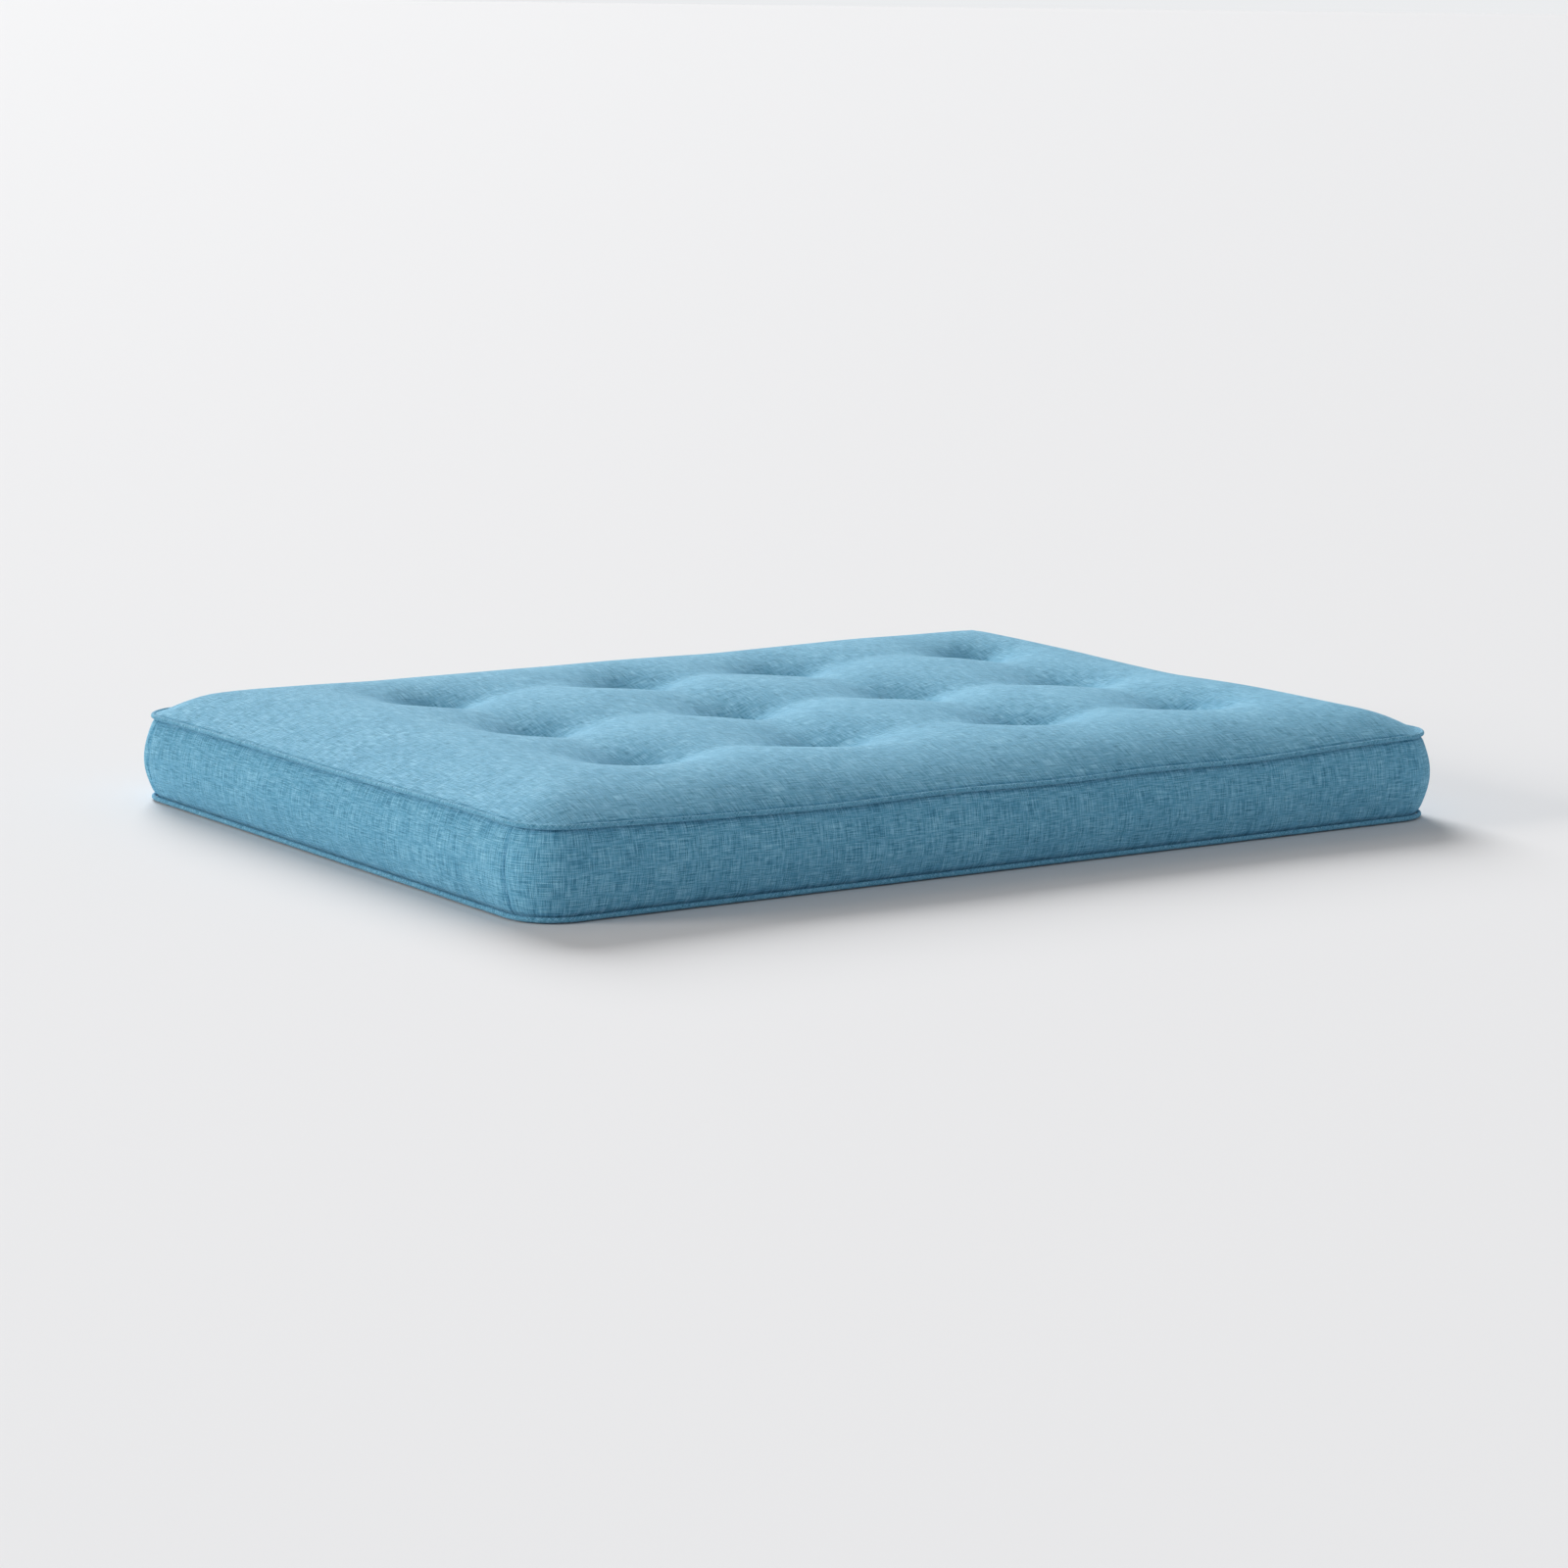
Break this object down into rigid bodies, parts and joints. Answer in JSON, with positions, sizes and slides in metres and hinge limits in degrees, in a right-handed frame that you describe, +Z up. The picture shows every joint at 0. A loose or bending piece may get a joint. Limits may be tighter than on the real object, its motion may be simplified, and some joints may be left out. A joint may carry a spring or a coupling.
{
  "type": "futon mattress",
  "caption": "Tufted full-size futon mattress with a boxed, piped fabric cover, padded crown and a lengthwise fold between its seat half and back half.",
  "frame": {"origin": "middle of the underside, on the surface that the mattress lies on, at the middle of the whole bounding box", "axes": "+X along the length, +Y across the width to the back half, +Z up"},
  "size_m": [1.905, 1.372, 0.192],
  "materials": {
    "cover_cloth": "heathered linen-look weave",
    "welt_cloth": "same cloth, cut on the bias",
    "filler_cord": "white cotton cord",
    "cotton_batting": "loose cotton felt",
    "foam": null,
    "twine": "waxed tufting twine",
    "tag_cloth": "blank white woven label"
  },
  "bodies": {
    "seat_half": {"bottom_panel_seat": "cover_cloth", "bottom_welt_cord_seat": "filler_cord", "bottom_welt_seat": "welt_cloth", "boxing_front": "cover_cloth", "boxing_left_seat": "cover_cloth", "boxing_right_seat": "cover_cloth", "foam_core_seat": "foam", "lower_batting_seat": "cotton_batting", "top_panel_seat": "cover_cloth", "top_welt_cord_seat": "filler_cord", "top_welt_seat": "welt_cloth", "tufting_ties_seat": "twine", "upper_batting_seat": "cotton_batting"},
    "back_half": {"bottom_panel_back": "cover_cloth", "bottom_welt_back": "welt_cloth", "bottom_welt_cord_back": "filler_cord", "boxing_back": "cover_cloth", "boxing_left_back": "cover_cloth", "boxing_right_back": "cover_cloth", "foam_core_back": "foam", "law_tag": "tag_cloth", "lower_batting_back": "cotton_batting", "top_panel_back": "cover_cloth", "top_welt_back": "welt_cloth", "top_welt_cord_back": "filler_cord", "tufting_ties_back": "twine", "upper_batting_back": "cotton_batting"},
    "fold_line": {"boxing_left_fold": "cover_cloth", "boxing_right_fold": "cover_cloth", "foam_core_fold": "foam", "top_panel_fold": "cover_cloth", "top_welt_cord_fold": "filler_cord", "top_welt_fold": "welt_cloth", "tufting_ties_fold": "twine", "upper_batting_fold": "cotton_batting"}
  },
  "joints": [
    {"name": "fold", "type": "hinge", "parent": "seat_half", "child": "back_half", "pos_m": [0, 0, 0.05], "axis": [1, 0, 0], "range_deg": [0, 75], "deforming": ["boxing_left_fold", "boxing_right_fold", "foam_core_fold", "top_panel_fold", "top_welt_cord_fold", "top_welt_fold", "upper_batting_fold"]},
    {"name": "fold_bisector", "type": "hinge", "parent": "seat_half", "child": "fold_line", "pos_m": [0, 0, 0.05], "axis": [1, 0, 0], "range_deg": [0, 37.5]}
  ],
  "couplings": [
    {"joint": "fold_bisector", "follows": "fold", "ratio": 0.5}
  ]
}
